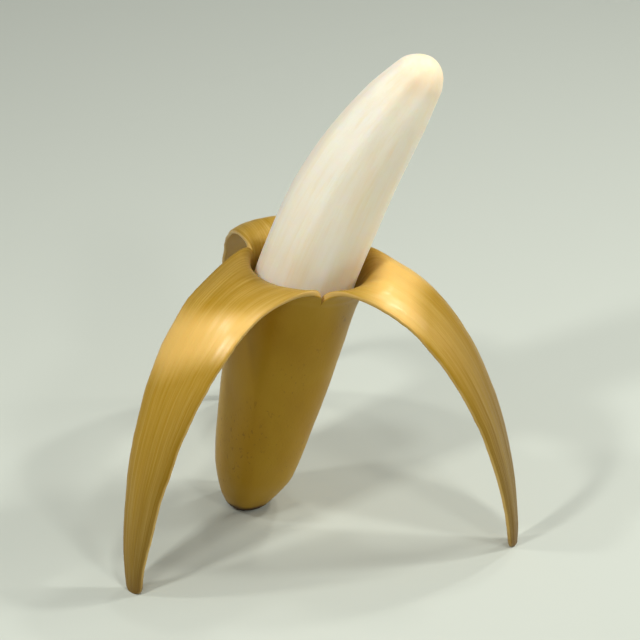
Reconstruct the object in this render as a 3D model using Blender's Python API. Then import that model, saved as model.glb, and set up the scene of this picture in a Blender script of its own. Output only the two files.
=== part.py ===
"""A banana peeled open and standing on its blossom end.

The skin is torn from the top into three strips, which fold over and reach down
to the ground like three legs. The bare flesh stands in the cup of skin that is
left. Both pieces are lofted, ring by ring, along one curved axis.

Lengths are in metres and +Z is up. The origin is the middle of the small flat
end that the banana stands on, and the fruit leans over towards +X.
"""

import math

import bmesh
import bpy
from mathutils import Quaternion, Vector

MM = 0.001
UP = Vector((0, 0, 1))

# The axis of the fruit: one curve in the XZ plane, which leans over towards +X.
# Each end keeps its own lean for about the length of its pull.
AXIS_LENGTH = 172.5 * MM
TIP_PLACE = Vector((58.9 * MM, 0, 160.1 * MM))
FOOT_LEAN = math.radians(11.4)
TIP_LEAN = math.radians(37)
FOOT_PULL = 66.5 * MM
TIP_PULL = 66.5 * MM
# Over this length the rings turn from lying flat on the ground to square with the axis
FOOT_LENGTH = 15 * MM

# The whole skin: distance along the axis, and radius of the outside there
SKIN_OUTLINE = (
    (0 * MM, 6.0 * MM),
    (1 * MM, 7.2 * MM),
    (6 * MM, 10.3 * MM),
    (13 * MM, 13.0 * MM),
    (30 * MM, 15.5 * MM),
    (52 * MM, 17.7 * MM),
    (70 * MM, 18.4 * MM),
    (85 * MM, 18.4 * MM),
)
# The tears end further up on the side that the fruit leans to
TEAR_AT = 85.5 * MM
TEAR_SLANT = 3.5 * MM
# The three tears part the skin into equal strips, the first one facing this way
RING_FROM = math.radians(-17)
SKIN_THICKNESS = 2.2 * MM
TORN_EDGE_THICKNESS = 1.5 * MM
# Higher powers keep the thinning closer to a strip's torn edges
THINNING_POWER = 4
# The skin opens a little just below the tears, where the strips pull it outwards
LIP_LENGTH = 12 * MM
LIP_FLARE = 1.2 * MM

# The flesh: distance along the axis, and radius before its two ends are rounded
FLESH_FROM = 8.5 * MM
FLESH_OUTLINE = (
    (8.5 * MM, 9.0 * MM),
    (20 * MM, 11.9 * MM),
    (40 * MM, 14.2 * MM),
    (62 * MM, 15.7 * MM),
    (85 * MM, 15.9 * MM),
    (107 * MM, 15.7 * MM),
    (131 * MM, 14.3 * MM),
    (153 * MM, 11.5 * MM),
    (164 * MM, 8.9 * MM),
    (172.5 * MM, 6.4 * MM),
)
FLESH_END_ROUNDING = 6 * MM
SKIN_GAP = 0.3 * MM

# Five soft ridges run along the fruit, and fade out before the tears
RIDGES = 5
RIDGES_FROM = math.radians(40)
SKIN_RIDGE_DEPTH = 0.02
FLESH_RIDGE_DEPTH = 0.012
RIDGES_FADE_FROM = 58 * MM
RIDGES_FADE = 20 * MM

# The strips stand round an upright line. Each is a fold, from the tears over to its
# crest, and an arch, from the crest down to its tip on the ground.
STRIPS_X = 17.2 * MM
STRIPS_Y = -4.2 * MM
# Direction; reach of the crest from the upright line; height of the crest; reach of the tip
STRIPS = (
    (math.radians(-17.5), 32.2 * MM, 89.35 * MM, 72.3 * MM),
    (math.radians(105.5), 29.8 * MM, 91.1 * MM, 73.0 * MM),
    (math.radians(223.5), 32.3 * MM, 90.3 * MM, 73.2 * MM),
)
# How far each end of a fold keeps its direction, as a share of the fold's span
FOLD_START_PULL = 0.45
FOLD_END_PULL = 0.35
# The arch's slope at its crest, and how far its two ends keep their directions
CREST_FALL = math.radians(24)
CREST_PULL = 25 * MM
STRIP_TIP_PULL = 40 * MM
STRIP_HALF_WIDTH = 14.2 * MM
STRIP_NARROWING = 0.74
NARROWING_POWER = 1.65
# Across a strip its two edges drop away from the middle, most of all near the edges
EDGE_DROP = 0.19
EDGE_DROP_POWER = 2.6
TIP_ROUNDING = 3 * MM
TIP_END_SHARE = 0.7

# Fineness of the mesh
STRIP_COLUMNS = 12
RING_COLUMNS = STRIP_COLUMNS * len(STRIPS)
CUP_ROWS = 14
CUP_CROWDING = 1.5
FOLD_ROWS = 7
ARCH_ROWS = 21
ARCH_CROWDING = 1.25
FLESH_ROWS = 26
FLESH_END_ROWS = 4
SHARP_ANGLE = math.radians(50)
# Fineness of the slopes that give a strip its outward direction, in rows and shares
SLOPE_STEP = 0.01

SKIN_COLOUR = (0.80, 0.46, 0.045, 1)
FLESH_COLOUR = (0.91, 0.80, 0.58, 1)


def smooth_step(share):
    """Ease from 0 to 1 as share goes from 0 to 1."""
    share = min(max(share, 0), 1)
    return share * share * (3 - 2 * share)


def smooth_outline(points, where):
    """Read a smooth curve through an outline's points, with no overshoot."""
    slopes = [(b[1] - a[1]) / (b[0] - a[0]) for a, b in zip(points, points[1:])]
    inner = [
        2 * a * b / (a + b) if a * b > 0 else 0
        for a, b in zip(slopes, slopes[1:])
    ]
    tangents = [slopes[0], *inner, slopes[-1]]
    where = min(max(where, points[0][0]), points[-1][0])
    i = max(k for k in range(len(slopes)) if points[k][0] <= where)
    (start, low), (end, high) = points[i], points[i + 1]
    span = end - start
    t = (where - start) / span
    ease = smooth_step(t)
    lead_in = t * (1 - t) ** 2 * tangents[i]
    lead_out = t * t * (1 - t) * tangents[i + 1]
    return low + (high - low) * ease + span * (lead_in - lead_out)


def rounded_end(depth, rounding):
    """Share of the full radius at a depth inside a rounded end."""
    left = 1 - min(max(depth / rounding, 0), 1)
    return math.sqrt(1 - left * left)


def bezier(points, t):
    """A point on a cubic curve, and the curve's direction there."""
    a, b, c, d = points
    s = 1 - t
    place = a * s ** 3 + b * (3 * s * s * t) + c * (3 * s * t * t) + d * t ** 3
    heading = (b - a) * (s * s) + (c - b) * (2 * s * t) + (d - c) * (t * t)
    return place, heading.normalized()


# ---------------------------------------------------------------- fruit's axis

def lean_heading(lean):
    return Vector((math.sin(lean), 0, math.cos(lean)))


def axis_place(along):
    """The axis at a distance from the foot, and how its heading leans there."""
    foot = Vector((0, 0, 0))
    leaving = foot + lean_heading(FOOT_LEAN) * FOOT_PULL
    arriving = TIP_PLACE - lean_heading(TIP_LEAN) * TIP_PULL
    place, heading = bezier((foot, leaving, arriving, TIP_PLACE), along / AXIS_LENGTH)
    return place, math.atan2(heading.x, heading.z)


def ring_turn(along):
    """Rotation that tips a level ring square with the axis."""
    lean = axis_place(along)[1] * smooth_step(along / FOOT_LENGTH)
    return Quaternion((0, 1, 0), lean)


def outward(direction):
    return Vector((math.cos(direction), math.sin(direction), 0))


def ring_point(along, direction, radius):
    return axis_place(along)[0] + ring_turn(along) @ (outward(direction) * radius)


def column_direction(column):
    """Direction of a column of corners, shared by all the rings of both pieces."""
    return RING_FROM + 2 * math.pi * (column / RING_COLUMNS - 0.5 / len(STRIPS))


def tear_at(direction):
    return TEAR_AT + TEAR_SLANT * math.cos(direction)


def ridged(along, direction, depth):
    """Share of the radius that the five ridges leave at a place on the fruit."""
    fade = 1 - smooth_step((along - RIDGES_FADE_FROM) / RIDGES_FADE)
    return 1 + depth * fade * math.cos(RIDGES * (direction - RIDGES_FROM))


# ------------------------------------------------------------------- the radii

def lip_flare(along, direction):
    """How much the skin has opened, from nothing to the full flare at the tears."""
    share = max(0, 1 - (tear_at(direction) - along) / LIP_LENGTH)
    return LIP_FLARE * share * share


def flesh_radius(along, direction, start=FLESH_FROM):
    body = smooth_outline(FLESH_OUTLINE, along)
    ends = rounded_end(along - start, FLESH_END_ROUNDING)
    ends *= rounded_end(AXIS_LENGTH - along, FLESH_END_ROUNDING)
    return body * ends * ridged(along, direction, FLESH_RIDGE_DEPTH)


def hollow_radius(along, direction):
    """The skin's inner side: a little larger than the flesh that it holds."""
    start = FLESH_FROM - 2 * SKIN_GAP
    return flesh_radius(along, direction, start) + SKIN_GAP + lip_flare(along, direction)


def skin_radius(along, direction):
    body = smooth_outline(SKIN_OUTLINE, along)
    return body * ridged(along, direction, SKIN_RIDGE_DEPTH) + lip_flare(along, direction)


def cup_point(row, column, outside):
    """A point of the cup, on row 0 at its floor to CUP_ROWS at the tears."""
    direction = column_direction(column)
    share = (row / CUP_ROWS) ** CUP_CROWDING
    if outside:
        along = tear_at(direction) * share
        return ring_point(along, direction, skin_radius(along, direction))
    floor = FLESH_FROM - SKIN_GAP
    along = floor + (tear_at(direction) - floor) * share
    return ring_point(along, direction, hollow_radius(along, direction))


# ------------------------------------------------------------------ the strips

def strip_lines(strip):
    """The strip's way outwards, its crest, its heading over the crest, and its tip."""
    direction, crest_reach, crest_height, tip_reach = STRIPS[strip]
    out = outward(direction)
    line = Vector((STRIPS_X, STRIPS_Y, 0))
    crest = line + out * crest_reach + UP * crest_height
    over = out * math.cos(CREST_FALL) - UP * math.sin(CREST_FALL)
    return out, crest, over, line + out * tip_reach


def bowed(place, heading, level, half_width, share):
    """A point across a strip, whose edges drop away from its middle."""
    above = heading.cross(level)
    drop = half_width * EDGE_DROP * abs(share) ** EDGE_DROP_POWER
    return place + level * (half_width * share) - above * drop


def arch_point(strip, t, share):
    """A point on a strip past its crest: t runs to the tip, share from edge to edge."""
    out, crest, over, tip = strip_lines(strip)
    arch = (crest, crest + over * CREST_PULL, tip + UP * STRIP_TIP_PULL, tip)
    place, heading = bezier(arch, t)
    width = STRIP_HALF_WIDTH * (1 - STRIP_NARROWING * t ** NARROWING_POWER)
    width *= TIP_END_SHARE + (1 - TIP_END_SHARE) * rounded_end(place.z, TIP_ROUNDING)
    return bowed(place, heading, UP.cross(out), width, share)


def fold_point(strip, t, share):
    """A point on a strip's fold: t runs from the tears to the crest."""
    over = strip_lines(strip)[2]
    direction = RING_FROM + 2 * math.pi * (strip + share / 2) / len(STRIPS)
    along = tear_at(direction)
    root = ring_point(along, direction, hollow_radius(along, direction))
    opening = outward(direction) * (2 * LIP_FLARE / LIP_LENGTH)
    wall = ring_turn(along) @ (UP + opening).normalized()
    crest = arch_point(strip, 0, share)
    span = (crest - root).length
    fold = (root, root + wall * span * FOLD_START_PULL, crest - over * span * FOLD_END_PULL, crest)
    return bezier(fold, t)[0]


def sheet_point(strip, row, share):
    """A point on the inner side of a strip, on row 0 at the tears to the last at the tip."""
    if row < FOLD_ROWS:
        return fold_point(strip, row / FOLD_ROWS, share)
    left = 1 - (row - FOLD_ROWS) / ARCH_ROWS
    return arch_point(strip, 1 - left ** ARCH_CROWDING, share)


def strip_point(strip, row, column, outside):
    share = 2 * ((column - strip * STRIP_COLUMNS) % RING_COLUMNS) / STRIP_COLUMNS - 1
    place = sheet_point(strip, row, share)
    if not outside:
        return place
    last = FOLD_ROWS + ARCH_ROWS
    next_row = min(row + SLOPE_STEP, last)
    along = sheet_point(strip, next_row, share) - sheet_point(strip, row - SLOPE_STEP, share)
    across = sheet_point(strip, row, share + SLOPE_STEP) - sheet_point(strip, row, share - SLOPE_STEP)
    inward = along.cross(across)
    if row == last:
        inward.z = 0  # the cut end of the tip stays flat on the ground
    edge = abs(share) ** THINNING_POWER * smooth_step(row / FOLD_ROWS)
    thickness = SKIN_THICKNESS + (TORN_EDGE_THICKNESS - SKIN_THICKNESS) * edge
    return place - inward.normalized() * thickness


# --------------------------------------------------------------------- meshing

class Loft:
    """A sheet grown row by row, whose corners remember where they belong."""

    def __init__(self, columns, corner):
        self.bm = bmesh.new()
        self.tags = {name: self.bm.verts.layers.int.new(name) for name in ("strip", "row", "column")}
        self.corner = corner
        made = bmesh.ops.create_circle(self.bm, cap_ends=True, segments=columns, radius=1)
        self.bm.verts.ensure_lookup_table()
        for column, vert in enumerate(made["verts"]):
            vert[self.tags["column"]] = column
            vert.co = corner(0, 0, column)
        self.rim = self.bm.edges[:]

    def grow(self, edges, strip, row):
        """Extrude edges to the next row, and return the new row's edges."""
        made = bmesh.ops.extrude_edge_only(self.bm, edges=edges)["geom"]
        new = [item for item in made if isinstance(item, bmesh.types.BMVert)]
        for vert in new:
            vert[self.tags["strip"]] = strip
            vert[self.tags["row"]] = row
            vert.co = self.corner(strip, row, vert[self.tags["column"]])
        fresh = set(new)
        return [
            item for item in made
            if isinstance(item, bmesh.types.BMEdge) and fresh.issuperset(item.verts)
        ]

    def thicken(self, outer_corner):
        """Extrude the whole sheet into a wall, with its outer side in its own place."""
        made = bmesh.ops.extrude_face_region(self.bm, geom=self.bm.faces[:])["geom"]
        for vert in made:
            if isinstance(vert, bmesh.types.BMVert):
                vert.co = outer_corner(*(vert[self.tags[name]] for name in ("strip", "row", "column")))

    def finish(self, name, material):
        """Make the mesh an object, with its faces outwards and its curves shaded smooth."""
        bmesh.ops.recalc_face_normals(self.bm, faces=self.bm.faces[:])
        mesh = bpy.data.meshes.new(name)
        self.bm.to_mesh(mesh)
        self.bm.free()
        mesh.shade_smooth()
        mesh.set_sharp_from_angle(angle=SHARP_ANGLE)
        mesh.materials.append(material)
        piece = bpy.data.objects.new(name, mesh)
        bpy.context.collection.objects.link(piece)
        return piece


def skin_corner(outside):
    """Where a corner of the skin belongs, on its inner or its outer side."""
    def corner(strip, row, column):
        if row <= CUP_ROWS:
            return cup_point(row, column, outside)
        return strip_point(strip, row - CUP_ROWS, column, outside)
    return corner


def make_peel(material):
    """The skin: a cup grown up to the tears, then three strips grown from its rim."""
    loft = Loft(RING_COLUMNS, skin_corner(outside=False))
    rim = loft.rim
    for row in range(1, CUP_ROWS + 1):
        rim = loft.grow(rim, 0, row)
    column = loft.tags["column"]
    for strip in range(len(STRIPS)):
        first = strip * STRIP_COLUMNS
        own = {(first + step) % RING_COLUMNS for step in range(STRIP_COLUMNS + 1)}
        edges = [edge for edge in rim if own.issuperset(vert[column] for vert in edge.verts)]
        for row in range(CUP_ROWS + 1, CUP_ROWS + FOLD_ROWS + ARCH_ROWS + 1):
            edges = loft.grow(edges, strip, row)
    loft.thicken(skin_corner(outside=True))
    return loft.finish("peel", material)


def flesh_distances():
    """Distances along the axis of the flesh's rings, close together at its two round ends."""
    turns = [math.pi / 2 * (k + 0.5) / (FLESH_END_ROWS + 0.5) for k in range(FLESH_END_ROWS)]
    depths = [FLESH_END_ROUNDING * (1 - math.cos(turn)) for turn in turns]
    start = FLESH_FROM + FLESH_END_ROUNDING
    end = AXIS_LENGTH - FLESH_END_ROUNDING
    body = [start + (end - start) * k / FLESH_ROWS for k in range(FLESH_ROWS + 1)]
    return [FLESH_FROM + d for d in depths] + body + [AXIS_LENGTH - d for d in reversed(depths)]


def make_flesh(material):
    """The bare fruit: one closed body from inside the cup up to its tip."""
    distances = flesh_distances()

    def corner(strip, row, column):
        direction = column_direction(column)
        return ring_point(distances[row], direction, flesh_radius(distances[row], direction))

    loft = Loft(RING_COLUMNS, corner)
    rim = loft.rim
    for row in range(1, len(distances)):
        rim = loft.grow(rim, 0, row)
    bmesh.ops.edgeloop_fill(loft.bm, edges=rim)
    return loft.finish("flesh", material)


def make_material(name, colour, roughness):
    material = bpy.data.materials.new(name)
    material.use_nodes = True
    shader = material.node_tree.nodes["Principled BSDF"]
    shader.inputs["Base Color"].default_value = colour
    shader.inputs["Roughness"].default_value = roughness
    shader.inputs["Metallic"].default_value = 0
    material.diffuse_color = colour
    return material


for old in list(bpy.data.objects):
    bpy.data.objects.remove(old, do_unlink=True)

make_peel(make_material("banana skin", SKIN_COLOUR, 0.5))
make_flesh(make_material("banana flesh", FLESH_COLOUR, 0.6))
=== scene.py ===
"""The looks of a peeled banana that stands on its blossom end.

Its skin is torn from the top into three strips, which fold over and arch down to
the ground, and the bare flesh stands in the cup of skin that is left. The peel and
the flesh are lofted finely, ring by ring, along the fruit's one curved axis, and
each corner remembers its place on the straight, unpeeled fruit. The finishes read
that place, so that fibres and marks follow the skin over every fold.

Lengths are in metres and +Z is up.
"""

import math

import bmesh
import bpy
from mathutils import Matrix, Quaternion, Vector, noise


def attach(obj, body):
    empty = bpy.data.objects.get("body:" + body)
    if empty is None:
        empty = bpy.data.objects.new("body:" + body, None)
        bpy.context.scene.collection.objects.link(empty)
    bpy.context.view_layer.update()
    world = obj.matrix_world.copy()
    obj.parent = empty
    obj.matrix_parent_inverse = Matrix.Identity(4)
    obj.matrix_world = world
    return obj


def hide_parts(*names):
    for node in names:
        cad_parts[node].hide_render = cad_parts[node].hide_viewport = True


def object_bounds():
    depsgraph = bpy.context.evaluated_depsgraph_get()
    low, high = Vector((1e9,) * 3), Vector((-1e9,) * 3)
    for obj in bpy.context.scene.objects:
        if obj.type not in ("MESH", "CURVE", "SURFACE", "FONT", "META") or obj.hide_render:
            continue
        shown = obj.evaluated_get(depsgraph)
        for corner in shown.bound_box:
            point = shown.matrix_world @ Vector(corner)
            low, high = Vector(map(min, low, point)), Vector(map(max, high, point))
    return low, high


MM = 0.001
UP = Vector((0, 0, 1))

# The axis of the fruit: one curve in the XZ plane, which leans over towards +X.
# Each end keeps its own lean for about the length of its pull.
AXIS_LENGTH = 172.5 * MM
TIP_PLACE = Vector((58.9 * MM, 0, 160.1 * MM))
FOOT_LEAN = math.radians(11.4)
TIP_LEAN = math.radians(37)
FOOT_PULL = 66.5 * MM
TIP_PULL = 66.5 * MM
# Over this length the rings turn from lying flat on the ground to square with the axis
FOOT_LENGTH = 15 * MM

# The whole skin: distance along the axis, and radius of the outside there
SKIN_OUTLINE = (
    (0 * MM, 6.0 * MM),
    (1 * MM, 7.2 * MM),
    (6 * MM, 10.3 * MM),
    (13 * MM, 13.0 * MM),
    (30 * MM, 15.5 * MM),
    (52 * MM, 17.7 * MM),
    (70 * MM, 18.4 * MM),
    (85 * MM, 18.4 * MM),
)
# The tears end further up on the side that the fruit leans to
TEAR_AT = 85.5 * MM
TEAR_SLANT = 3.5 * MM
# The three tears part the skin into equal strips, the first one facing this way
RING_FROM = math.radians(-17)
SKIN_THICKNESS = 2.2 * MM
TORN_EDGE_THICKNESS = 1.5 * MM
# Higher powers keep the thinning closer to a strip's torn edges
THINNING_POWER = 4
# The skin opens a little just below the tears, where the strips pull it outwards
LIP_LENGTH = 12 * MM
LIP_FLARE = 1.2 * MM

# The flesh: distance along the axis, and radius before its two ends are rounded
FLESH_FROM = 8.5 * MM
FLESH_OUTLINE = (
    (8.5 * MM, 9.0 * MM),
    (20 * MM, 11.9 * MM),
    (40 * MM, 14.2 * MM),
    (62 * MM, 15.7 * MM),
    (85 * MM, 15.9 * MM),
    (107 * MM, 15.7 * MM),
    (131 * MM, 14.3 * MM),
    (153 * MM, 11.5 * MM),
    (164 * MM, 8.9 * MM),
    (172.5 * MM, 6.4 * MM),
)
FLESH_END_ROUNDING = 6 * MM
SKIN_GAP = 0.3 * MM

# Five soft ridges run along the fruit, and fade out before the tears
RIDGES = 5
RIDGES_FROM = math.radians(40)
SKIN_RIDGE_DEPTH = 0.02
FLESH_RIDGE_DEPTH = 0.012
RIDGES_FADE_FROM = 58 * MM
RIDGES_FADE = 20 * MM

# The strips stand round an upright line. Each is a fold, from the tears over to its
# crest, and an arch, from the crest down to its tip on the ground.
STRIPS_X = 17.2 * MM
STRIPS_Y = -4.2 * MM
# Direction; reach of the crest from the upright line; height of the crest; reach of the tip
STRIPS = (
    (math.radians(-17.5), 32.2 * MM, 89.35 * MM, 72.3 * MM),
    (math.radians(105.5), 29.8 * MM, 91.1 * MM, 73.0 * MM),
    (math.radians(223.5), 32.3 * MM, 90.3 * MM, 73.2 * MM),
)
# How far each end of a fold keeps its direction, as a share of the fold's span
FOLD_START_PULL = 0.45
FOLD_END_PULL = 0.35
# The arch's slope at its crest, and how far its two ends keep their directions
CREST_FALL = math.radians(24)
CREST_PULL = 25 * MM
STRIP_TIP_PULL = 40 * MM
STRIP_HALF_WIDTH = 14.2 * MM
STRIP_NARROWING = 0.74
NARROWING_POWER = 1.65
# Across a strip its two edges drop away from the middle, most of all near the edges
EDGE_DROP = 0.19
EDGE_DROP_POWER = 2.6
TIP_ROUNDING = 3 * MM
TIP_END_SHARE = 0.7
# Lengths of skin in a fold and in an arch
FOLD_LENGTH = 24 * MM
ARCH_LENGTH = 108 * MM

# The torn edges are rounded by this many cuts, and bulge by this share of the wall's thickness.
# The bulge is full from this share of a fold on.
EDGE_CUTS = 3
EDGE_BULGE = 0.5
BULGE_FULL_AT = 0.7
# They also wander, in slow waves with smaller quick ones on them, so many along an arch
EDGE_WANDER = 0.45 * MM
SLOW_WAVES = 9
QUICK_WAVES = 31
QUICK_SHARE = 0.4
# Rings of the scar in the foot's flat end: width of each, and how far it rises
SCAR_RINGS = (
    (1.1 * MM, 0 * MM),
    (0.4 * MM, -0.45 * MM),
    (1.6 * MM, -0.2 * MM),
    (0.4 * MM, 0.3 * MM),
    (0.9 * MM, 0.05 * MM),
)

# Kinds of relief: height, length of a lump round the fruit and along it, and seed
SKIN_DENTS = (0.16 * MM, 11 * MM, 15 * MM, 3.7)
SKIN_DIMPLES = (0.05 * MM, 3 * MM, 4 * MM, 8.1)
SKIN_CORDS = (0.14 * MM, 3.2 * MM, 30 * MM, 5.3)
SKIN_SWELLS = (0.07 * MM, 9 * MM, 9 * MM, 1.9)
FLESH_LUMPS = (0.2 * MM, 14 * MM, 26 * MM, 6.4)
FLESH_GROOVES = (0.08 * MM, 2.6 * MM, 45 * MM, 2.2)
# Skin and flesh lie this much lower, so that the relief keeps within their clean outlines
SKIN_SUNK = 0.12 * MM
FLESH_SUNK = 0.2 * MM
# Rows over which the skin's relief fades at the foot, at a strip's root and at its tip
FOOT_FADE_ROWS = 4
ROOT_FADE_ROWS = 5
TIP_FADE_ROWS = 8
# Long soft facets round the flesh, from where it is bare
FACETS = 8
FACETS_FROM = math.radians(-72)
FACET_HEIGHT = 0.28 * MM
BARE_FROM = 84 * MM
BARE_FADE = 16 * MM
# The worn tip of the flesh ends this much lower than its clean outline
TIP_WEAR = 0.15 * MM
TIP_WEAR_LENGTH = 20 * MM

# Fineness of the meshes
STRIP_COLUMNS = 40
RING_COLUMNS = STRIP_COLUMNS * len(STRIPS)
CUP_ROWS = 70
CUP_CROWDING = 1.3
FOLD_ROWS = 26
ARCH_ROWS = 100
ARCH_CROWDING = 1.1
FLESH_ROWS = 150
FLESH_END_ROWS = 14
SHARP_ANGLE = math.radians(50)
# Fineness of the slopes that give a strip its outward direction, in rows and shares
SLOPE_STEP = 0.02

# Where the colour of the strips' inner side changes along the skin: painted shade at the roots, a
# painted highlight over the bend and painted shade deepening towards the tips. A slant brings a change
# nearer to the root on the side that the fruit leans to, by this share of the place's X.
ROOT_SHADE_FROM = 94 * MM
ROOT_SHADE_TO = 114 * MM
ROOT_SHADE_SLANT = 0.4
BEND_HIGHLIGHT_FROM = 102 * MM
BEND_HIGHLIGHT_TO = 125 * MM
BEND_HIGHLIGHT_FADE = 16 * MM
BEND_HIGHLIGHT_SLANT = 0.55
TIPWARD_SHADE_FROM = 124 * MM
TIPWARD_SHADE_TO = 225 * MM
TIPWARD_SHADE_SLANT = 1.4
# Where the strips' tips turn brown, and where the cork at the foot ends
TIP_BRUISED_FROM = 214 * MM
TIP_BRUISED_TO = 230 * MM
CORK_FROM = -0.6 * MM
CORK_TO = 1.4 * MM
# Where the tip of the flesh turns deeper cream
TIP_DEEP_FROM = 164 * MM
TIP_DEEP_TO = 178 * MM

# The skin's colours outside, inside and on its torn edges. Inside, the darker root and tip golds are
# painted shade, and the pale bend yellow is a painted highlight.
GOLD = (0.41, 0.222, 0.009, 1)
PALE_GOLD = (0.45, 0.258, 0.013, 1)
FRECKLE_BROWN = (0.20, 0.085, 0.012, 1)
PORE_AMBER = (0.55, 0.27, 0.03, 1)
LINING_GOLD = (0.44, 0.245, 0.012, 1)
LINING_PAINTED_SHADE = (0.180, 0.094, 0.0035, 1)
BEND_PAINTED_HIGHLIGHT = (0.87, 0.530, 0.120, 1)
ROOT_PAINTED_SHADE = (0.31, 0.175, 0.010, 1)
PITH_CREAM = (0.82, 0.60, 0.20, 1)
TORN_GOLD = (0.50, 0.31, 0.07, 1)
TORN_CREAM = (0.64, 0.43, 0.14, 1)
BRUISE_BROWN = (0.16, 0.075, 0.018, 1)
CORK_BROWN = (0.085, 0.040, 0.014, 1)
# The flesh's colours
CREAM = (0.99, 0.885, 0.75, 1)
LINE_CREAM = (0.955, 0.80, 0.58, 1)
TIP_CREAM = (0.82, 0.64, 0.38, 1)

# The studio
FLOOR_HALF_SIZE = 6
FLOOR_DROP = 0.05 * MM
FLOOR_COLOUR = (0.605, 0.64, 0.553, 1)
BACKDROP_COLOUR = (0.97, 0.98, 1.0, 1)
BACKDROP_STRENGTH = 0.15
# Name of a lamp; azimuth, from 0 in front to 90 at the right; elevation; distance; size; watts
LAMPS = (
    ("overhead", 20, 76, 0.8, 0.06, 1.25),
    ("right", 98, 53, 0.55, 0.04, 0.7),
    ("low right", 100, 22, 0.8, 0.2, 1.9),
    ("back right", 135, 55, 0.55, 0.04, 0.45),
    ("back", 165, 70, 0.7, 0.05, 0.4),
    ("left", 278, 55, 0.55, 0.04, 0.5),
    ("front left", 318, 45, 0.6, 0.05, 1.25),
    ("front", 32, 42, 0.8, 0.08, 0.75),
)
# The camera looks down this much from this far, at a point right and up of the foot
VIEW_ELEVATION = math.radians(30.13)
VIEW_DISTANCE = 1.9324
SIGHT_RIGHT = 23.58 * MM
SIGHT_UP = 58.14 * MM
LENS_LENGTH = 337.5
FILM_WIDTH = 36
NEAREST_SEEN = 0.1


def smooth_step(share):
    """Ease from 0 to 1 as share goes from 0 to 1."""
    share = min(max(share, 0), 1)
    return share * share * (3 - 2 * share)


def smooth_outline(points, where):
    """Read a smooth curve through an outline's points, with no overshoot."""
    slopes = [(b[1] - a[1]) / (b[0] - a[0]) for a, b in zip(points, points[1:])]
    inner = [
        2 * a * b / (a + b) if a * b > 0 else 0
        for a, b in zip(slopes, slopes[1:])
    ]
    tangents = [slopes[0], *inner, slopes[-1]]
    where = min(max(where, points[0][0]), points[-1][0])
    i = max(k for k in range(len(slopes)) if points[k][0] <= where)
    (start, low), (end, high) = points[i], points[i + 1]
    span = end - start
    t = (where - start) / span
    ease = smooth_step(t)
    lead_in = t * (1 - t) ** 2 * tangents[i]
    lead_out = t * t * (1 - t) * tangents[i + 1]
    return low + (high - low) * ease + span * (lead_in - lead_out)


def rounded_end(depth, rounding):
    """Share of the full radius at a depth inside a rounded end."""
    left = 1 - min(max(depth / rounding, 0), 1)
    return math.sqrt(1 - left * left)


def bezier(points, t):
    """A point on a cubic curve, and the curve's direction there."""
    a, b, c, d = points
    s = 1 - t
    place = a * s ** 3 + b * (3 * s * s * t) + c * (3 * s * t * t) + d * t ** 3
    heading = (b - a) * (s * s) + (c - b) * (2 * s * t) + (d - c) * (t * t)
    return place, heading.normalized()


# ---------------------------------------------------------------- fruit's axis

def lean_heading(lean):
    return Vector((math.sin(lean), 0, math.cos(lean)))


def axis_place(along):
    """The axis at a distance from the foot, and how its heading leans there."""
    foot = Vector((0, 0, 0))
    leaving = foot + lean_heading(FOOT_LEAN) * FOOT_PULL
    arriving = TIP_PLACE - lean_heading(TIP_LEAN) * TIP_PULL
    place, heading = bezier((foot, leaving, arriving, TIP_PLACE), along / AXIS_LENGTH)
    return place, math.atan2(heading.x, heading.z)


def ring_turn(along):
    """Rotation that tips a level ring square with the axis."""
    lean = axis_place(along)[1] * smooth_step(along / FOOT_LENGTH)
    return Quaternion((0, 1, 0), lean)


def outward(direction):
    return Vector((math.cos(direction), math.sin(direction), 0))


def ring_point(along, direction, radius):
    return axis_place(along)[0] + ring_turn(along) @ (outward(direction) * radius)


def column_direction(column):
    """Direction of a column of corners, shared by all the rings of both pieces."""
    return RING_FROM + 2 * math.pi * (column / RING_COLUMNS - 0.5 / len(STRIPS))


def tear_at(direction):
    return TEAR_AT + TEAR_SLANT * math.cos(direction)


def ridged(along, direction, depth):
    """Share of the radius that the five ridges leave at a place on the fruit."""
    fade = 1 - smooth_step((along - RIDGES_FADE_FROM) / RIDGES_FADE)
    return 1 + depth * fade * math.cos(RIDGES * (direction - RIDGES_FROM))


# --------------------------------------------------------------------- relief

def relief(place, kind):
    """How far one kind of smooth unevenness lifts the surface at a place, up or down."""
    height, around, along, seed = kind
    scaled = Vector((place.x / around, place.y / around, place.z / along))
    return height * noise.noise(scaled + Vector((seed, seed, seed)))


def skin_relief(place, outside):
    """How far a point of the skin stands out: dents outside, and soft lengthwise cords inside."""
    if outside:
        return relief(place, SKIN_DENTS) + relief(place, SKIN_DIMPLES) - SKIN_SUNK
    return relief(place, SKIN_CORDS) + relief(place, SKIN_SWELLS)


def flesh_relief(place, direction):
    """How far a point of the flesh stands out: long soft facets, lumps and shallow grooves."""
    bare = smooth_step((place.z - BARE_FROM) / BARE_FADE)
    facets = bare * FACET_HEIGHT * math.cos(FACETS * (direction - FACETS_FROM))
    return facets + relief(place, FLESH_LUMPS) + relief(place, FLESH_GROOVES) - FLESH_SUNK


# ------------------------------------------------------------------- the radii

def lip_flare(along, direction):
    """How much the skin has opened, from nothing to the full flare at the tears."""
    share = max(0, 1 - (tear_at(direction) - along) / LIP_LENGTH)
    return LIP_FLARE * share * share


def flesh_radius(along, direction, start=FLESH_FROM):
    body = smooth_outline(FLESH_OUTLINE, along)
    ends = rounded_end(along - start, FLESH_END_ROUNDING)
    ends *= rounded_end(AXIS_LENGTH - along, FLESH_END_ROUNDING)
    return body * ends * ridged(along, direction, FLESH_RIDGE_DEPTH)


def hollow_radius(along, direction):
    """The skin's inner side: a little larger than the flesh that it holds."""
    start = FLESH_FROM - 2 * SKIN_GAP
    return flesh_radius(along, direction, start) + SKIN_GAP + lip_flare(along, direction)


def skin_radius(along, direction):
    body = smooth_outline(SKIN_OUTLINE, along)
    return body * ridged(along, direction, SKIN_RIDGE_DEPTH) + lip_flare(along, direction)


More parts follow.
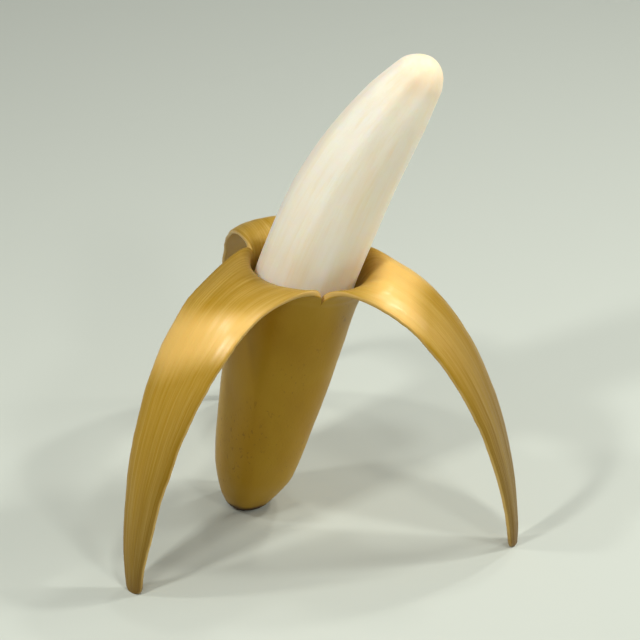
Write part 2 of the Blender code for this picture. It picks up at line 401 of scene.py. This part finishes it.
def cup_distance(row, direction, outside):
    """Distance along the axis of a cup's row, from its floor to the tears."""
    share = (row / CUP_ROWS) ** CUP_CROWDING
    if outside:
        return tear_at(direction) * share
    floor = FLESH_FROM - SKIN_GAP
    return floor + (tear_at(direction) - floor) * share


def cup_point(row, column, outside):
    """A point of the cup, on row 0 at its floor to CUP_ROWS at the tears."""
    direction = column_direction(column)
    along = cup_distance(row, direction, outside)
    if not outside:
        return ring_point(along, direction, hollow_radius(along, direction))
    lift = skin_relief(unpeeled(0, row, column), True) * smooth_step(row / FOOT_FADE_ROWS)
    return ring_point(along, direction, skin_radius(along, direction) + lift)


# ------------------------------------------------------------------ the strips

def strip_lines(strip):
    """The strip's way outwards, its crest, its heading over the crest, and its tip."""
    direction, crest_reach, crest_height, tip_reach = STRIPS[strip]
    out = outward(direction)
    line = Vector((STRIPS_X, STRIPS_Y, 0))
    crest = line + out * crest_reach + UP * crest_height
    over = out * math.cos(CREST_FALL) - UP * math.sin(CREST_FALL)
    return out, crest, over, line + out * tip_reach


def bowed(place, heading, level, half_width, share):
    """A point across a strip, whose edges drop away from its middle."""
    above = heading.cross(level)
    drop = half_width * EDGE_DROP * abs(share) ** EDGE_DROP_POWER
    return place + level * (half_width * share) - above * drop


def edge_wander(strip, t, share):
    """How far the torn edges wander from their clean lines."""
    side = 1 if share > 0 else -1
    seed = 7.3 * strip + 3.1 * side  # any steps that tell the six edges apart
    slow = noise.noise(Vector((seed, SLOW_WAVES * t, 0)))
    quick = noise.noise(Vector((seed, QUICK_WAVES * t, 5)))
    return EDGE_WANDER * (slow + QUICK_SHARE * quick)


def arch_point(strip, t, share):
    """A point on a strip past its crest: t runs to the tip, share from edge to edge."""
    out, crest, over, tip = strip_lines(strip)
    arch = (crest, crest + over * CREST_PULL, tip + UP * STRIP_TIP_PULL, tip)
    place, heading = bezier(arch, t)
    width = STRIP_HALF_WIDTH * (1 - STRIP_NARROWING * t ** NARROWING_POWER)
    width *= TIP_END_SHARE + (1 - TIP_END_SHARE) * rounded_end(place.z, TIP_ROUNDING)
    width += edge_wander(strip, t, share) - EDGE_BULGE * TORN_EDGE_THICKNESS
    return bowed(place, heading, UP.cross(out), width, share)


def fold_point(strip, t, share):
    """A point on a strip's fold: t runs from the tears to the crest."""
    over = strip_lines(strip)[2]
    direction = RING_FROM + 2 * math.pi * (strip + share / 2) / len(STRIPS)
    along = tear_at(direction)
    root = ring_point(along, direction, hollow_radius(along, direction))
    opening = outward(direction) * (2 * LIP_FLARE / LIP_LENGTH)
    wall = ring_turn(along) @ (UP + opening).normalized()
    crest = arch_point(strip, 0, share)
    span = (crest - root).length
    fold = (root, root + wall * span * FOLD_START_PULL, crest - over * span * FOLD_END_PULL, crest)
    return bezier(fold, t)[0]


def arch_share(row):
    """How far along its arch a strip's row lies, from 0 at the crest to 1 at the tip."""
    left = min(max(1 - (row - FOLD_ROWS) / ARCH_ROWS, 0), 1)
    return 1 - left ** ARCH_CROWDING


def sheet_point(strip, row, share):
    """A point on the inner side of a strip, on row 0 at the tears to the last at the tip."""
    if row < FOLD_ROWS:
        return fold_point(strip, row / FOLD_ROWS, share)
    return arch_point(strip, arch_share(row), share)


def strip_share(strip, column):
    """Where a column lies across its strip, from -1 at one edge to 1 at the other."""
    return 2 * ((column - strip * STRIP_COLUMNS) % RING_COLUMNS) / STRIP_COLUMNS - 1


def strip_slopes(strip, row, share):
    """Unit direction from a strip's inner side to its outer one."""
    next_row = min(row + SLOPE_STEP, FOLD_ROWS + ARCH_ROWS)
    along = sheet_point(strip, next_row, share) - sheet_point(strip, row - SLOPE_STEP, share)
    across = sheet_point(strip, row, share + SLOPE_STEP) - sheet_point(strip, row, share - SLOPE_STEP)
    inward = along.cross(across)
    if row == FOLD_ROWS + ARCH_ROWS:
        inward.z = 0  # the cut end of the tip stays flat on the ground
    return -inward.normalized()


def strip_point(strip, row, column, outside):
    share = strip_share(strip, column)
    place = sheet_point(strip, row, share)
    through = strip_slopes(strip, row, share)
    rows_left = FOLD_ROWS + ARCH_ROWS - row
    fade = smooth_step(row / ROOT_FADE_ROWS) * smooth_step(rows_left / TIP_FADE_ROWS)
    lift = skin_relief(unpeeled(strip, row + CUP_ROWS, column), outside) * fade
    if not outside:
        return place - through * lift
    edge = abs(share) ** THINNING_POWER * smooth_step(row / FOLD_ROWS)
    thickness = SKIN_THICKNESS + (TORN_EDGE_THICKNESS - SKIN_THICKNESS) * edge
    return place + through * (thickness + lift)


def unpeeled(strip, row, column):
    """Place of a corner of the skin on the straight, unpeeled fruit."""
    direction = column_direction(column)
    tear = tear_at(direction)
    if row <= CUP_ROWS:
        along = cup_distance(row, direction, True)
    elif row <= CUP_ROWS + FOLD_ROWS:
        along = tear + FOLD_LENGTH * (row - CUP_ROWS) / FOLD_ROWS
    else:
        along = tear + FOLD_LENGTH + ARCH_LENGTH * arch_share(row - CUP_ROWS)
    return outward(direction) * smooth_outline(SKIN_OUTLINE, along) + UP * along


# --------------------------------------------------------------------- meshing

class Loft:
    """A sheet grown row by row, whose corners remember where they belong."""

    def __init__(self, columns, corner, unrolled):
        self.bm = bmesh.new()
        layers = self.bm.verts.layers
        self.tags = [layers.int.new(name) for name in ("strip", "row", "column")]
        self.side = layers.float.new("side")
        self.place = layers.float_vector.new("place")
        self.strip, self.row, self.column = self.tags
        self.corner = corner
        self.unrolled = unrolled
        made = bmesh.ops.create_circle(self.bm, cap_ends=True, segments=columns, radius=1)
        self.bm.verts.ensure_lookup_table()
        for column, vert in enumerate(made["verts"]):
            self.settle(vert, 0, 0, column)
        self.rim = self.bm.edges[:]

    def settle(self, vert, strip, row, column):
        """Put a new corner where it belongs, and note its place on the straight fruit."""
        vert[self.strip] = strip
        vert[self.row] = row
        vert[self.column] = column
        vert[self.place] = self.unrolled(strip, row, column)
        vert.co = self.corner(strip, row, column)

    def whereabouts(self, vert):
        return tuple(vert[tag] for tag in self.tags)

    def grow(self, edges, strip, row):
        """Extrude edges to the next row, and return the new row's edges."""
        made = bmesh.ops.extrude_edge_only(self.bm, edges=edges)["geom"]
        new = [item for item in made if isinstance(item, bmesh.types.BMVert)]
        for vert in new:
            self.settle(vert, strip, row, vert[self.column])
        fresh = set(new)
        return [
            item for item in made
            if isinstance(item, bmesh.types.BMEdge) and fresh.issuperset(item.verts)
        ]

    def thicken(self, outer_corner):
        """Extrude the whole sheet into a wall, and return its outer faces."""
        made = bmesh.ops.extrude_face_region(self.bm, geom=self.bm.faces[:])["geom"]
        for item in made:
            if isinstance(item, bmesh.types.BMVert):
                item[self.side] = 1
                item.co = outer_corner(*self.whereabouts(item))
        bmesh.ops.recalc_face_normals(self.bm, faces=self.bm.faces[:])
        return [item for item in made if isinstance(item, bmesh.types.BMFace)]

    def round_edges(self, bulge):
        """Round the wall's torn edges: bulge gives how far each one stands out."""
        across = [edge for edge in self.bm.edges if edge.verts[0][self.side] != edge.verts[1][self.side]]
        ends = {}
        for edge in across:
            inner, outer = sorted(edge.verts, key=lambda vert: vert[self.side])
            facing = sum((face.normal for face in edge.link_faces), Vector())
            ends[self.whereabouts(inner)] = (inner.co.copy(), outer.co.copy(), facing.normalized())
        bmesh.ops.subdivide_edges(self.bm, edges=across, cuts=EDGE_CUTS, use_grid_fill=True)
        for vert in self.bm.verts:
            if not 0 < vert[self.side] < 1:
                continue
            where = self.whereabouts(vert)
            inner, outer, facing = ends[where]
            turn = math.pi * vert[self.side]
            middle = (inner + outer) / 2
            wall = (outer - inner) / 2
            vert.co = middle - wall * math.cos(turn) + facing * (bulge(*where) * math.sin(turn))
            vert.co.z = max(vert.co.z, 0)

    def finish(self, name):
        """Make the mesh an object, with its faces outwards and its curves shaded smooth."""
        bmesh.ops.recalc_face_normals(self.bm, faces=self.bm.faces[:])
        for tag in ("strip", "row", "column"):
            self.bm.verts.layers.int.remove(self.bm.verts.layers.int[tag])
        mesh = bpy.data.meshes.new(name)
        self.bm.to_mesh(mesh)
        self.bm.free()
        mesh.shade_smooth()
        mesh.set_sharp_from_angle(angle=SHARP_ANGLE)
        piece = bpy.data.objects.new(name, mesh)
        bpy.context.collection.objects.link(piece)
        return piece


def skin_corner(outside):
    """Where a corner of the skin belongs, on its inner or its outer side."""
    def corner(strip, row, column):
        if row <= CUP_ROWS:
            return cup_point(row, column, outside)
        return strip_point(strip, row - CUP_ROWS, column, outside)
    return corner


def torn_bulge(strip, row, column):
    """How far a torn edge is rounded out: nothing where a tear begins, and full further on."""
    full_after = BULGE_FULL_AT * FOLD_ROWS
    return EDGE_BULGE * TORN_EDGE_THICKNESS * smooth_step((row - CUP_ROWS) / full_after)


def make_scar(bm, foot):
    """Sink rings into the small flat end, with a worn stub in the middle."""
    for width, rise in SCAR_RINGS:
        bmesh.ops.inset_region(bm, faces=[foot], thickness=width, depth=rise, use_even_offset=True)


def make_peel():
    """The skin: a cup grown up to the tears, then three strips grown from its rim."""
    loft = Loft(RING_COLUMNS, skin_corner(outside=False), unpeeled)
    rim = loft.rim
    for row in range(1, CUP_ROWS + 1):
        rim = loft.grow(rim, 0, row)
    for strip in range(len(STRIPS)):
        first = strip * STRIP_COLUMNS
        own = {(first + step) % RING_COLUMNS for step in range(STRIP_COLUMNS + 1)}
        edges = [edge for edge in rim if own.issuperset(vert[loft.column] for vert in edge.verts)]
        for row in range(CUP_ROWS + 1, CUP_ROWS + FOLD_ROWS + ARCH_ROWS + 1):
            edges = loft.grow(edges, strip, row)
    outer = loft.thicken(skin_corner(outside=True))
    loft.round_edges(torn_bulge)
    foot = max((face for face in outer if face.is_valid), key=lambda face: len(face.verts))
    make_scar(loft.bm, foot)
    for vert in foot.verts:
        vert[loft.place] = vert.co
    return loft.finish("banana_peel")


def flesh_distances():
    """Distances along the axis of the flesh's rings, close together at its two round ends."""
    turns = [math.pi / 2 * (k + 0.5) / (FLESH_END_ROWS + 0.5) for k in range(FLESH_END_ROWS)]
    depths = [FLESH_END_ROUNDING * (1 - math.cos(turn)) for turn in turns]
    start = FLESH_FROM + FLESH_END_ROUNDING
    end = AXIS_LENGTH - FLESH_END_ROUNDING
    body = [start + (end - start) * k / FLESH_ROWS for k in range(FLESH_ROWS + 1)]
    return [FLESH_FROM + d for d in depths] + body + [AXIS_LENGTH - d for d in reversed(depths)]


def make_flesh():
    """The bare fruit: one closed body from inside the cup up to its tip."""
    distances = flesh_distances()

    def unrolled(strip, row, column):
        direction = column_direction(column)
        return outward(direction) * flesh_radius(distances[row], direction) + UP * distances[row]

    def corner(strip, row, column):
        direction = column_direction(column)
        along = distances[row]
        radius = flesh_radius(along, direction)
        left = AXIS_LENGTH - along
        fade = smooth_step(left / FLESH_END_ROUNDING)
        radius += flesh_relief(unrolled(strip, row, column), direction) * fade
        worn = TIP_WEAR * (1 - smooth_step(left / TIP_WEAR_LENGTH))
        return ring_point(along - worn, direction, radius)

    loft = Loft(RING_COLUMNS, corner, unrolled)
    rim = loft.rim
    for row in range(1, len(distances)):
        rim = loft.grow(rim, 0, row)
    bmesh.ops.edgeloop_fill(loft.bm, edges=rim)
    return loft.finish("banana_flesh")


# ------------------------------------------------------------------- finishes

class Value:
    """A number that varies over a surface, on which sums and products can be written."""

    def __init__(self, finish, socket):
        self.finish = finish
        self.socket = socket

    def maths(self, operation, *terms):
        made = self.finish.node("ShaderNodeMath", {"operation": operation}, dict(enumerate(terms)))
        return Value(self.finish, made.outputs[0])

    def __add__(self, other):
        return self.maths("ADD", self, other)

    def __radd__(self, other):
        return self.maths("ADD", other, self)

    def __sub__(self, other):
        return self.maths("SUBTRACT", self, other)

    def __rsub__(self, other):
        return self.maths("SUBTRACT", other, self)

    def __mul__(self, other):
        return self.maths("MULTIPLY", self, other)

    def __rmul__(self, other):
        return self.maths("MULTIPLY", other, self)

    def between(self, low, high):
        """0 where the value is at low, 1 where it is at high, and eased between them."""
        ranges = {"From Min": low, "From Max": high, "Value": self}
        made = self.finish.node("ShaderNodeMapRange", {"interpolation_type": "SMOOTHSTEP"}, ranges)
        return Value(self.finish, made.outputs["Result"])


class Finish:
    """A material, and the nodes that colour it."""

    def __init__(self, name, **constants):
        self.material = bpy.data.materials.new(name)
        self.material.use_nodes = True
        self.tree = self.material.node_tree
        self.shader = self.tree.nodes["Principled BSDF"]
        self.set(constants)

    def set(self, sockets):
        """Give the shader's sockets their constants or links."""
        for name, value in sockets.items():
            self.plug(self.shader.inputs[name.replace("_", " ")], value)

    def plug(self, entry, value):
        if isinstance(value, Value):
            self.tree.links.new(value.socket, entry)
        elif isinstance(value, bpy.types.NodeSocket):
            self.tree.links.new(value, entry)
        else:
            entry.default_value = value

    def node(self, kind, settings, entries):
        """Add a node: its settings first, then the values or links of its sockets."""
        made = self.tree.nodes.new(kind)
        for name, value in settings.items():
            setattr(made, name, value)
        for name, value in entries.items():
            self.plug(made.inputs[name], value)
        return made

    def attribute(self, name, output):
        made = self.node("ShaderNodeAttribute", {"attribute_name": name}, {})
        return made.outputs[output]

    def place_parts(self):
        """The place's X and Z on the straight fruit: towards its leaning side, and along it."""
        parts = self.node("ShaderNodeSeparateXYZ", {}, {"Vector": self.attribute("place", "Vector")})
        return Value(self, parts.outputs["X"]), Value(self, parts.outputs["Z"])

    def place(self, around, along, shift=0):
        """The place on the straight fruit, counted in lengths round and along it."""
        scale = (1 / around, 1 / around, 1 / along)
        entries = {"Vector": self.attribute("place", "Vector"), "Scale": scale, "Location": (shift,) * 3}
        return self.node("ShaderNodeMapping", {}, entries).outputs["Vector"]

    def grain(self, around, along, detail=2, roughness=0.5, shift=0):
        """Noise with grains of the given lengths round and along the fruit, from 0 to 1."""
        entries = {
            "Vector": self.place(around, along, shift),
            "Scale": 1,
            "Detail": detail,
            "Roughness": roughness,
        }
        made = self.node("ShaderNodeTexNoise", {}, entries)
        return Value(self, made.outputs["Fac"])

    def blend(self, share, first, second):
        """Mix two colours: first where share is 0, second where it is 1."""
        made = self.node("ShaderNodeMix", {"data_type": "RGBA"}, {0: share, 6: first, 7: second})
        return made.outputs[2]

    def bump(self, height, depth):
        """Raise the surface by up to depth where height is 1."""
        entries = {"Height": height, "Distance": depth, "Strength": 1}
        return self.node("ShaderNodeBump", {}, entries).outputs["Normal"]


def skin_finish():
    """Golden skin: clouded and flecked outside, fibrous inside with painted shade and a painted
    highlight, and pithy torn edges.
    """
    finish = Finish("skin", IOR=1.5, Coat_Roughness=0.32, Subsurface_Weight=0.1, Subsurface_Scale=2 * MM)
    finish.set({"Subsurface_Radius": (1, 0.5, 0.15), "Specular_Tint": (1, 0.72, 0.28, 1)})
    side = Value(finish, finish.attribute("side", "Fac"))
    outer = side.between(0.70, 0.90)
    lining = 1 - side.between(0.02, 0.25)
    leaning, along = finish.place_parts()

    # outside: gold in soft clouds, with short brown streaks that come in groups
    clouds = finish.grain(15 * MM, 26 * MM, detail=3)
    gold = finish.blend(clouds.between(0.3, 0.7), GOLD, PALE_GOLD)
    groups = finish.grain(18 * MM, 22 * MM, detail=2, shift=9).between(0.42, 0.60)
    streaks = finish.grain(0.9 * MM, 1.8 * MM, detail=3, roughness=0.6, shift=5).between(0.60, 0.68)
    pores = finish.grain(0.6 * MM, 0.9 * MM, detail=2, shift=3)
    gold = finish.blend(groups * streaks * 0.5, gold, FRECKLE_BROWN)
    gold = finish.blend(pores.between(0.55, 0.75) * 0.12, gold, PORE_AMBER)

    # inside: a painted highlight where the skin bends over, painted shade at the root and towards the
    # tips, with pithy fibres
    tipward_shade = (along + TIPWARD_SHADE_SLANT * leaning).between(TIPWARD_SHADE_FROM, TIPWARD_SHADE_TO)
    inside = finish.blend(tipward_shade, LINING_GOLD, LINING_PAINTED_SHADE)
    highlight_along = along + BEND_HIGHLIGHT_SLANT * leaning
    bend_highlight = highlight_along.between(BEND_HIGHLIGHT_FROM, BEND_HIGHLIGHT_FROM + BEND_HIGHLIGHT_FADE) - highlight_along.between(BEND_HIGHLIGHT_TO, BEND_HIGHLIGHT_TO + BEND_HIGHLIGHT_FADE)
    inside = finish.blend(bend_highlight, inside, BEND_PAINTED_HIGHLIGHT)
    # painted shade at the strips' roots, by the tears
    root = 1 - (along + ROOT_SHADE_SLANT * leaning).between(ROOT_SHADE_FROM, ROOT_SHADE_TO)
    inside = finish.blend(root * 0.9, inside, ROOT_PAINTED_SHADE)
    fibres = finish.grain(0.8 * MM, 34 * MM, detail=4, roughness=0.6)
    bands = finish.grain(4 * MM, 60 * MM, detail=2, shift=4)
    pith = fibres.between(0.38, 0.72) * 0.42 + bands.between(0.35, 0.7) * 0.26
    inside = finish.blend(pith * 0.4, inside, PITH_CREAM)
    torn = finish.blend(fibres.between(0.3, 0.7), TORN_GOLD, TORN_CREAM)
    colour = finish.blend(outer, finish.blend(lining, torn, inside), gold)

    # the strips' tips are bruised, and the foot is dark and corky
    worn = finish.grain(3 * MM, 9 * MM, detail=3, shift=6)
    bruised = (along + worn * 14 * MM).between(TIP_BRUISED_FROM, TIP_BRUISED_TO)
    colour = finish.blend(bruised * 0.7, colour, BRUISE_BROWN)
    corky = 1 - (along - worn * 2.4 * MM).between(CORK_FROM, CORK_TO)
    colour = finish.blend(corky * outer, colour, CORK_BROWN)
    height = outer * pores * 0.35 + (1 - outer) * fibres
    finish.set({
        "Base_Color": colour,
        "Coat_Weight": bend_highlight * lining * 0.8,
        "Roughness": 0.34 + 0.04 * (1 - outer) + 0.08 * clouds + 0.2 * corky,
        "Normal": finish.bump(height, 0.10 * MM),
    })
    return finish.material


def flesh_finish():
    """Cream flesh, a little translucent, with soft lengthwise lines and a deeper tip."""
    finish = Finish("flesh", IOR=1.42, Subsurface_Weight=0.8, Subsurface_Scale=10 * MM)
    finish.set({"Subsurface_Radius": (1, 0.75, 0.45)})
    along = finish.place_parts()[1]
    lines = finish.grain(1.5 * MM, 38 * MM, detail=3, roughness=0.6)
    veins = finish.grain(4 * MM, 55 * MM, detail=2, shift=8)
    clouds = finish.grain(11 * MM, 20 * MM, detail=3, shift=2)
    crumbs = finish.grain(0.7 * MM, 0.9 * MM, detail=3, shift=7)
    shade = lines.between(0.42, 0.72) * 0.45 + veins.between(0.45, 0.65) * 0.3
    shade = shade + clouds.between(0.35, 0.7) * 0.25
    colour = finish.blend(shade, CREAM, LINE_CREAM)
    tip = (along + clouds * 8 * MM).between(TIP_DEEP_FROM, TIP_DEEP_TO)
    colour = finish.blend(tip * 0.6, colour, TIP_CREAM)
    finish.set({
        "Base_Color": colour,
        "Roughness": 0.44 + 0.16 * crumbs,
        "Normal": finish.bump(lines * 0.7 + crumbs * 0.3, 0.16 * MM),
    })
    return finish.material


# ----------------------------------------------------------------- the studio

def add_lamp(name, aim, azimuth, elevation, distance, size, watts):
    """A square soft lamp that faces the aim."""
    turn, rise = math.radians(azimuth), math.radians(elevation)
    away = Vector((math.sin(turn) * math.cos(rise), -math.cos(turn) * math.cos(rise), math.sin(rise)))
    lamp = bpy.data.objects.new(name, bpy.data.lights.new(name, "AREA"))
    lamp.data.size = size
    lamp.data.energy = watts
    lamp.location = aim + away * distance
    lamp.rotation_mode = "QUATERNION"
    lamp.rotation_quaternion = away.to_track_quat("Z", "Y")
    bpy.context.collection.objects.link(lamp)


def light_studio(aim):
    """A faint even backdrop, and soft lamps all round."""
    world = bpy.data.worlds.new("studio")
    bpy.context.scene.world = world
    world.use_nodes = True
    backdrop = world.node_tree.nodes["Background"]
    backdrop.inputs["Color"].default_value = BACKDROP_COLOUR
    backdrop.inputs["Strength"].default_value = BACKDROP_STRENGTH
    for name, *settings in LAMPS:
        add_lamp(name, aim, *settings)


def make_floor():
    """A plain pale floor, just under the banana."""
    bm = bmesh.new()
    bmesh.ops.create_grid(bm, x_segments=1, y_segments=1, size=FLOOR_HALF_SIZE)
    bmesh.ops.translate(bm, verts=bm.verts, vec=(0, 0, -FLOOR_DROP))
    mesh = bpy.data.meshes.new("floor")
    bm.to_mesh(mesh)
    bm.free()
    floor = bpy.data.objects.new("floor", mesh)
    bpy.context.collection.objects.link(floor)
    finish = Finish("floor", Roughness=0.7, Base_Color=FLOOR_COLOUR)
    mesh.materials.append(finish.material)


def add_camera():
    """A camera in front of the banana, whose foot stands at the origin."""
    ahead = Vector((0, math.cos(VIEW_ELEVATION), -math.sin(VIEW_ELEVATION)))
    above = Vector((0, math.sin(VIEW_ELEVATION), math.cos(VIEW_ELEVATION)))
    camera = bpy.data.objects.new("camera", bpy.data.cameras.new("camera"))
    camera.location = -ahead * VIEW_DISTANCE + Vector((1, 0, 0)) * SIGHT_RIGHT + above * SIGHT_UP
    camera.rotation_euler = (math.pi / 2 - VIEW_ELEVATION, 0, 0)
    camera.data.lens = LENS_LENGTH
    camera.data.sensor_width = FILM_WIDTH
    camera.data.clip_start = NEAREST_SEEN
    bpy.context.collection.objects.link(camera)
    bpy.context.scene.camera = camera


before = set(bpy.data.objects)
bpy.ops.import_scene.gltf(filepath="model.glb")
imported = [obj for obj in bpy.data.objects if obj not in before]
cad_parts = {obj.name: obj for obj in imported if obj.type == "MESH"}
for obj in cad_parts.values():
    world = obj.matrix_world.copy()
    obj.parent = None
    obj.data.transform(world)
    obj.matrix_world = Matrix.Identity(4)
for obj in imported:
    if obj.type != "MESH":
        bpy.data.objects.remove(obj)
solid_box = [list(corner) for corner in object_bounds()]

for piece, node, finish, slot in (
    (make_peel(), "peel", skin_finish(), "banana_skin"),
    (make_flesh(), "flesh", flesh_finish(), "banana_flesh"),
):
    piece.data.materials.append(finish)
    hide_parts(node)
    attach(piece, "root")

low, high = (Vector(corner) for corner in solid_box)
make_floor()
light_studio((low + high) / 2)
add_camera()
bpy.context.scene.view_settings.view_transform = "Standard"
